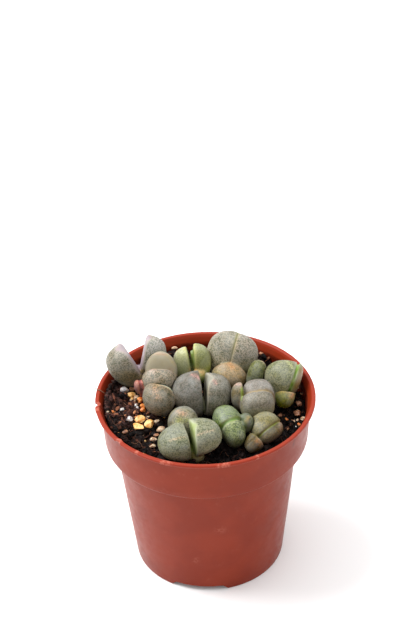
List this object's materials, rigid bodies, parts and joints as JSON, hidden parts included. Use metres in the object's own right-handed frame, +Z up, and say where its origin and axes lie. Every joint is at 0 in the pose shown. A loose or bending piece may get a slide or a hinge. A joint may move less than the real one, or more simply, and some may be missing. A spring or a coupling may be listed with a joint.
{
  "type": "potted split rock",
  "caption": "Young split rock succulents, thick cleft half-egg leaf pairs with fine dark dots, crowded in peaty soil and quartz grit in a small round terracotta-coloured plastic nursery pot.",
  "frame": {"origin": "on the pot's axis at the level of its feet, the middle of the part's base", "axes": "+Z up along the pot's axis, -Y towards the picture's viewer, +X to the viewer's right"},
  "size_m": [0.055, 0.055, 0.0581],
  "materials": {
    "pot_plastic": "satin",
    "potting_soil": "matte",
    "leaf_grey": "satin",
    "leaf_mauve": "satin",
    "leaf_pale_green": "satin",
    "leaf_green": "satin",
    "leaf_olive": "satin",
    "leaf_lime": "satin",
    "leaf_pink": "satin",
    "grit_yellow": "satin",
    "grit_orange": "satin",
    "grit_beige": "satin",
    "grit_white": "satin",
    "grit_brown": "satin"
  },
  "bodies": {
    "root": {"pot": "pot_plastic", "soil": "potting_soil", "head_wide_open": "leaf_grey", "head_back_left": "leaf_grey", "head_left": "leaf_grey", "head_centre": "leaf_mauve", "head_front": "leaf_pale_green", "head_green": "leaf_green", "head_round": "leaf_olive", "head_square": "leaf_mauve", "head_tall_grey": "leaf_grey", "head_lime": "leaf_lime", "head_slim": "leaf_olive", "head_right": "leaf_pale_green", "head_pink": "leaf_pink", "grit_1": "grit_yellow", "grit_2": "grit_white", "grit_3": "grit_brown", "grit_4": "grit_yellow", "grit_5": "grit_beige", "grit_6": "grit_orange", "grit_7": "grit_orange", "grit_8": "grit_yellow", "grit_9": "grit_white", "grit_10": "grit_yellow", "grit_11": "grit_yellow", "grit_12": "grit_beige", "grit_13": "grit_beige", "grit_14": "grit_brown", "grit_15": "grit_beige", "grit_16": "grit_beige", "grit_17": "grit_white", "grit_18": "grit_orange", "grit_19": "grit_brown", "grit_20": "grit_beige", "grit_21": "grit_brown", "grit_22": "grit_brown", "grit_23": "grit_beige", "grit_24": "grit_orange", "grit_25": "grit_brown", "grit_26": "grit_brown"}
  },
  "joints": []
}
